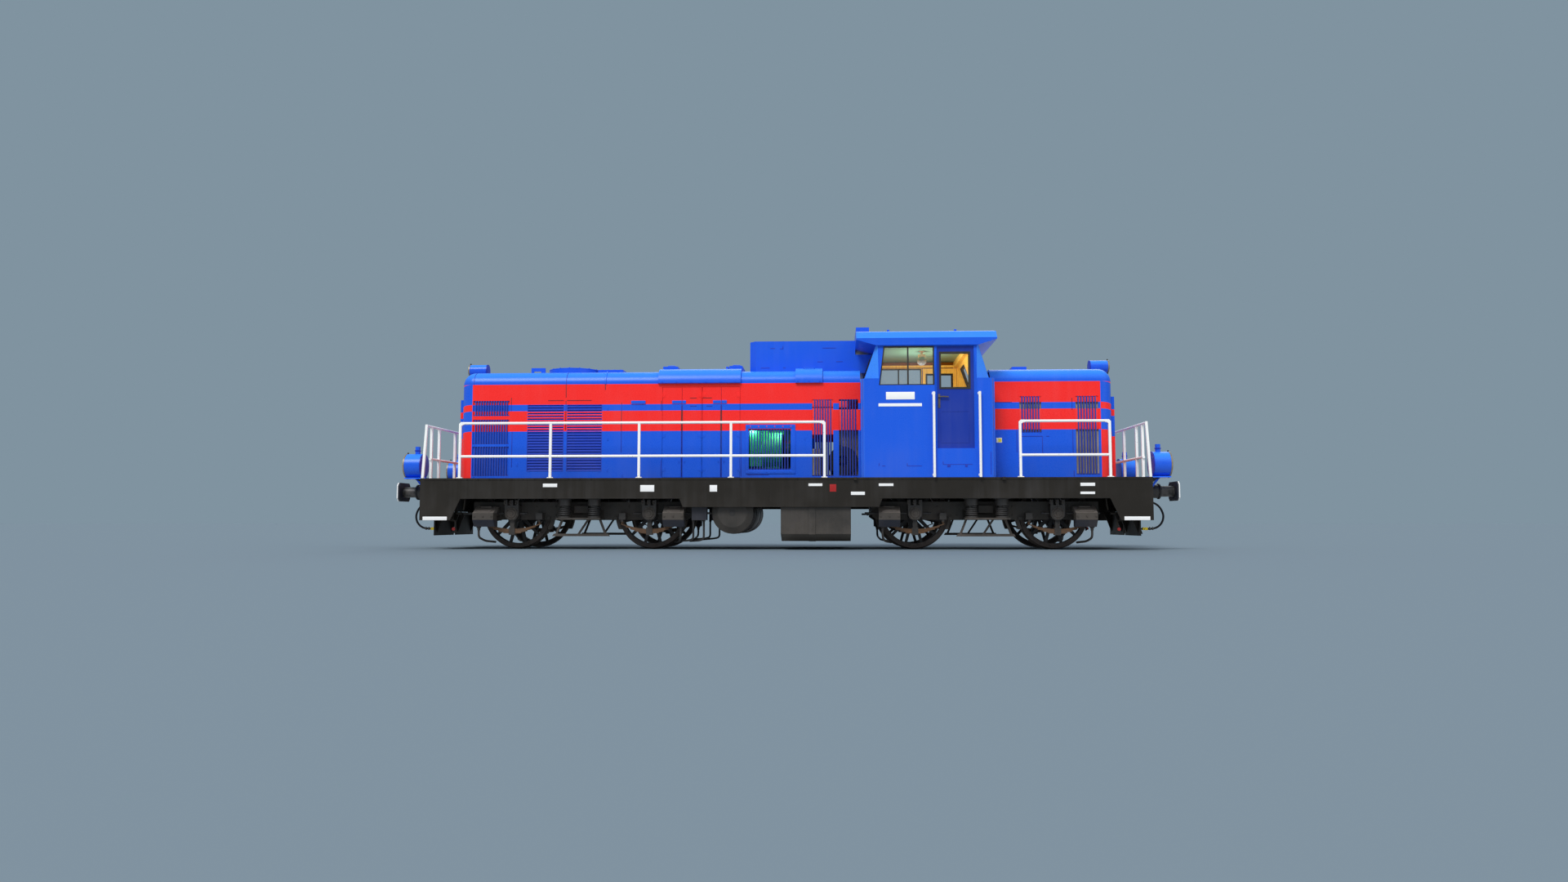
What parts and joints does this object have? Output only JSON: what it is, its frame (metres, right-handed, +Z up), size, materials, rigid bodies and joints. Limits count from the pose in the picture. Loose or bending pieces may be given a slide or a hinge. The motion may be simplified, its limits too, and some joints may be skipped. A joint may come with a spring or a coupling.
{
  "type": "diesel locomotive",
  "caption": "Four-axle bogie diesel locomotive with an off-centre cab between a long and a short engine hood, hollow cab with opening doors, spoked wheels that roll.",
  "frame": {"origin": "middle of the length and width, at the lowest point of the wheel flanges", "axes": "+X along the length towards the short-hood end, +Y to the right-hand side when facing the long-hood end, +Z up"},
  "size_m": [14.24, 3.1678, 4.2028],
  "materials": {
    "frame_black": "dusty satin black paint",
    "spring_steel": "brown oxide paint, oily",
    "wheel_steel": "bare tread, dark painted web",
    "skirt_black": "satin black paint",
    "buffer_steel": "dark paint, white rim",
    "hose_rubber": "matt black rubber",
    "hose_head_paint": "yellow paint",
    "hood_paint": "glossy blue with red bands",
    "grille_blue": "glossy blue",
    "roof_paint": "satin blue",
    "cab_paint": "glossy blue with red bands",
    "door_paint": "glossy dark blue",
    "floor_plate": "worn grey",
    "window_glass": "clear",
    "desk_green": "hammered grey green",
    "engine_green": "satin green",
    "lamp_blue": "glossy blue",
    "rail_white": "glossy white"
  },
  "bodies": {
    "root": {"air_equipment": "skirt_black", "brake_hose_front": "hose_rubber", "brake_hose_rear": "hose_rubber", "buffer_beams": "skirt_black", "buffers": "buffer_steel", "cab_floor": "floor_plate", "cab_glass": "window_glass", "cab_roof": "roof_paint", "cab_wall_front": "cab_paint", "cab_wall_left": "cab_paint", "cab_wall_rear": "cab_paint", "cab_wall_right": "cab_paint", "deck": "frame_black", "draw_gear": "frame_black", "drivers_desk": "desk_green", "end_railings": "rail_white", "engine_block": "engine_green", "fuel_tank": "skirt_black", "handrails_left": "rail_white", "handrails_right": "rail_white", "hood_top_fittings": "roof_paint", "hose_head_front": "hose_head_paint", "hose_head_rear": "hose_head_paint", "lamps": "lamp_blue", "long_hood_grilles": "grille_blue", "long_hood_left": "hood_paint", "long_hood_nose": "hood_paint", "long_hood_right": "hood_paint", "long_hood_roof": "hood_paint", "short_hood_grilles": "grille_blue", "short_hood_left": "hood_paint", "short_hood_nose": "hood_paint", "short_hood_right": "hood_paint", "short_hood_roof": "hood_paint", "side_plates": "skirt_black", "snow_ploughs": "frame_black", "underframe": "frame_black"},
    "bogie_front": {"bogie_brakes_front": "frame_black", "bogie_frame_front": "frame_black", "bogie_springs_front": "spring_steel"},
    "bogie_rear": {"bogie_brakes_rear": "frame_black", "bogie_frame_rear": "frame_black", "bogie_springs_rear": "spring_steel"},
    "wheelset_1": {"wheelset_1": "wheel_steel"},
    "wheelset_2": {"wheelset_2": "wheel_steel"},
    "wheelset_3": {"wheelset_3": "wheel_steel"},
    "wheelset_4": {"wheelset_4": "wheel_steel"},
    "cab_door_left": {"cab_door_left": "door_paint"},
    "cab_door_right": {"cab_door_right": "door_paint"},
    "engine_door_left_1a": {"engine_door_left_1a": "hood_paint"},
    "engine_door_left_1b": {"engine_door_left_1b": "hood_paint"},
    "engine_door_left_2a": {"engine_door_left_2a": "hood_paint"},
    "engine_door_left_2b": {"engine_door_left_2b": "hood_paint"},
    "engine_door_right_1a": {"engine_door_right_1a": "hood_paint"},
    "engine_door_right_1b": {"engine_door_right_1b": "hood_paint"},
    "engine_door_right_2a": {"engine_door_right_2a": "hood_paint"},
    "engine_door_right_2b": {"engine_door_right_2b": "hood_paint"}
  },
  "joints": [
    {"name": "bogie_front_turn", "type": "hinge", "parent": "root", "child": "bogie_front", "pos_m": [-3.675, 0, 0.905], "axis": [0, 0, 1], "range_deg": [-3, 3]},
    {"name": "bogie_rear_turn", "type": "hinge", "parent": "root", "child": "bogie_rear", "pos_m": [3.675, 0, 0.905], "axis": [0, 0, 1], "range_deg": [-3, 3]},
    {"name": "wheelset_1_roll", "type": "hinge", "parent": "bogie_front", "child": "wheelset_1", "pos_m": [-4.9425, 0, 0.653], "axis": [0, 1, 0], "continuous": true},
    {"name": "wheelset_2_roll", "type": "hinge", "parent": "bogie_front", "child": "wheelset_2", "pos_m": [-2.4075, 0, 0.653], "axis": [0, 1, 0], "continuous": true},
    {"name": "wheelset_3_roll", "type": "hinge", "parent": "bogie_rear", "child": "wheelset_3", "pos_m": [2.4075, 0, 0.653], "axis": [0, 1, 0], "continuous": true},
    {"name": "wheelset_4_roll", "type": "hinge", "parent": "bogie_rear", "child": "wheelset_4", "pos_m": [4.9425, 0, 0.653], "axis": [0, 1, 0], "continuous": true},
    {"name": "cab_door_left_swing", "type": "hinge", "parent": "root", "child": "cab_door_left", "pos_m": [3.475, -1.3947, 1.9], "axis": [0, 0, -1], "range_deg": [0, 90]},
    {"name": "cab_door_right_swing", "type": "hinge", "parent": "root", "child": "cab_door_right", "pos_m": [3.475, 1.3947, 1.9], "axis": [0, 0, 1], "range_deg": [0, 90]},
    {"name": "engine_door_left_1a_swing", "type": "hinge", "parent": "root", "child": "engine_door_left_1a", "pos_m": [-2.217, -0.95, 1.4], "axis": [0, 0, -1], "range_deg": [0, 90]},
    {"name": "engine_door_left_1b_swing", "type": "hinge", "parent": "root", "child": "engine_door_left_1b", "pos_m": [-1.494, -0.95, 1.4], "axis": [0, 0, 1], "range_deg": [0, 90]},
    {"name": "engine_door_left_2a_swing", "type": "hinge", "parent": "root", "child": "engine_door_left_2a", "pos_m": [-1.47, -0.95, 1.4], "axis": [0, 0, -1], "range_deg": [0, 90]},
    {"name": "engine_door_left_2b_swing", "type": "hinge", "parent": "root", "child": "engine_door_left_2b", "pos_m": [-0.78, -0.95, 1.4], "axis": [0, 0, 1], "range_deg": [0, 90]},
    {"name": "engine_door_right_1a_swing", "type": "hinge", "parent": "root", "child": "engine_door_right_1a", "pos_m": [-2.217, 0.95, 1.4], "axis": [0, 0, 1], "range_deg": [0, 90]},
    {"name": "engine_door_right_1b_swing", "type": "hinge", "parent": "root", "child": "engine_door_right_1b", "pos_m": [-1.494, 0.95, 1.4], "axis": [0, 0, -1], "range_deg": [0, 90]},
    {"name": "engine_door_right_2a_swing", "type": "hinge", "parent": "root", "child": "engine_door_right_2a", "pos_m": [-1.47, 0.95, 1.4], "axis": [0, 0, 1], "range_deg": [0, 90]},
    {"name": "engine_door_right_2b_swing", "type": "hinge", "parent": "root", "child": "engine_door_right_2b", "pos_m": [-0.78, 0.95, 1.4], "axis": [0, 0, -1], "range_deg": [0, 90]}
  ]
}
